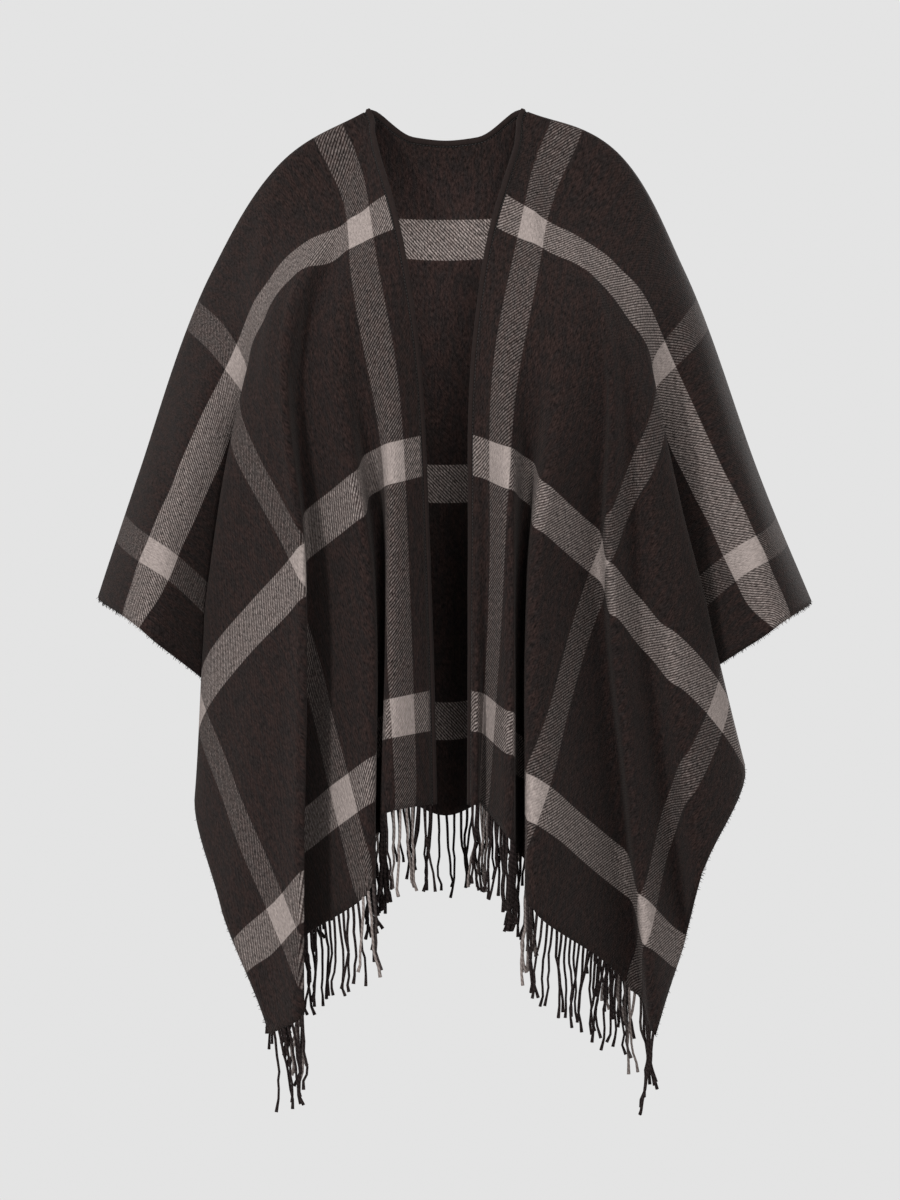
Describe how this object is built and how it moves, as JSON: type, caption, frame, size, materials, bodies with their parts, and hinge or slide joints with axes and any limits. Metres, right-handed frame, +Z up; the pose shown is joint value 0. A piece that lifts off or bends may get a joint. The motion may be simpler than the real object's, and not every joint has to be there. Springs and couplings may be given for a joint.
{
  "type": "serape",
  "caption": "Open-front woven wrap folded over the shoulders, with a stitched front and neck edge and fringed hems, in its worn form.",
  "frame": {"origin": "midway between the two neck points, at shoulder height, where the wearer holds the wrap up", "axes": "+Z up, the front faces -Y, +X to the wearer's left hand side, which is the right side of the front view"},
  "size_m": [0.7234, 0.3483, 0.9925],
  "materials": {
    "front_left": "brushed wool twill, dark brown with a wide pale check",
    "front_right": "brushed wool twill, dark brown with a wide pale check",
    "back": "brushed wool twill, dark brown with a wide pale check",
    "edge_binding": "narrow turned wool edge, matt, stitched",
    "fringe_front_left": "twisted wool fringe",
    "fringe_front_right": "twisted wool fringe",
    "fringe_back": "twisted wool fringe"
  },
  "bodies": {
    "root": {"front_left": "front_left", "front_right": "front_right", "back": "back", "edge_binding": "edge_binding", "fringe_front_left": "fringe_front_left", "fringe_front_right": "fringe_front_right", "fringe_back": "fringe_back"}
  },
  "joints": []
}
